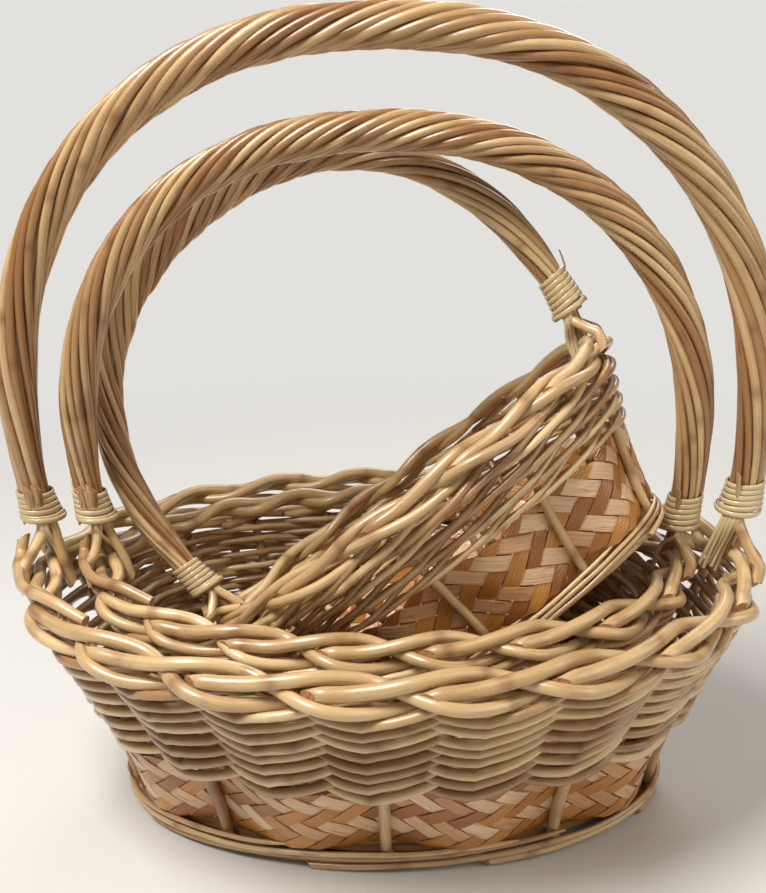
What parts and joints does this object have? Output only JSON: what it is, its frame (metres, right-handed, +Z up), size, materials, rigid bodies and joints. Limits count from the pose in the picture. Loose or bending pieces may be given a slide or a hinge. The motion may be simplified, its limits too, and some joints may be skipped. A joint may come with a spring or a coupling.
{
  "type": "nest of oval wicker baskets",
  "caption": "Oval wicker baskets with plaited rims, chip bands and rope-twisted hoop handles, nested one in another with the smallest tipped.",
  "frame": {"origin": "on the floor under the middle of the large basket", "axes": "+Z up, X along the handles and the long way of the baskets, -Y towards the viewer of the picture"},
  "size_m": [0.4632, 0.3212, 0.4824],
  "materials": {
    "varnished_willow": "gloss varnish",
    "wood_chip": "satin varnish",
    "plywood": "bare",
    "split_cane": "gloss varnish"
  },
  "bodies": {
    "large_basket": {"large_base_board": "plywood", "large_stakes_and_foot": "varnished_willow", "large_foot_rod": "varnished_willow", "large_chip_band": "wood_chip", "large_wale_rod_1": "varnished_willow", "large_wale_rod_2": "varnished_willow", "large_wale_rod_3": "varnished_willow", "large_wale_rod_4": "varnished_willow", "large_wale_rod_5": "varnished_willow", "large_wale_rod_6": "varnished_willow", "large_wale_rod_7": "varnished_willow", "large_wale_rod_8": "varnished_willow", "large_border_rod_1": "varnished_willow", "large_border_rod_2": "varnished_willow", "large_border_rod_3": "varnished_willow", "large_handle": "varnished_willow", "large_binding_right": "split_cane", "large_binding_left": "split_cane"},
    "medium_basket": {"medium_base_board": "plywood", "medium_stakes_and_foot": "varnished_willow", "medium_foot_rod": "varnished_willow", "medium_chip_band": "wood_chip", "medium_wale_rod_1": "varnished_willow", "medium_wale_rod_2": "varnished_willow", "medium_wale_rod_3": "varnished_willow", "medium_wale_rod_4": "varnished_willow", "medium_wale_rod_5": "varnished_willow", "medium_wale_rod_6": "varnished_willow", "medium_wale_rod_7": "varnished_willow", "medium_wale_rod_8": "varnished_willow", "medium_border_rod_1": "varnished_willow", "medium_border_rod_2": "varnished_willow", "medium_border_rod_3": "varnished_willow", "medium_handle": "varnished_willow", "medium_binding_right": "split_cane", "medium_binding_left": "split_cane"},
    "small_basket": {"small_base_board": "plywood", "small_stakes_and_foot": "varnished_willow", "small_foot_rod": "varnished_willow", "small_chip_band": "wood_chip", "small_wale_rod_1": "varnished_willow", "small_wale_rod_2": "varnished_willow", "small_wale_rod_3": "varnished_willow", "small_wale_rod_4": "varnished_willow", "small_wale_rod_5": "varnished_willow", "small_wale_rod_6": "varnished_willow", "small_wale_rod_7": "varnished_willow", "small_border_rod_1": "varnished_willow", "small_border_rod_2": "varnished_willow", "small_border_rod_3": "varnished_willow", "small_handle": "varnished_willow", "small_binding_right": "split_cane", "small_binding_left": "split_cane"}
  },
  "joints": [
    {"name": "medium_basket_tips_out", "type": "hinge", "parent": "large_basket", "child": "medium_basket", "pos_m": [0, -0.22, 0.085], "axis": [1, 0, 0], "range_deg": [0, 80]},
    {"name": "small_basket_rocks_up", "type": "hinge", "parent": "medium_basket", "child": "small_basket", "pos_m": [-0.048, -0.0194, 0.244], "axis": [0, -1, 0], "range_deg": [0, 18]}
  ]
}
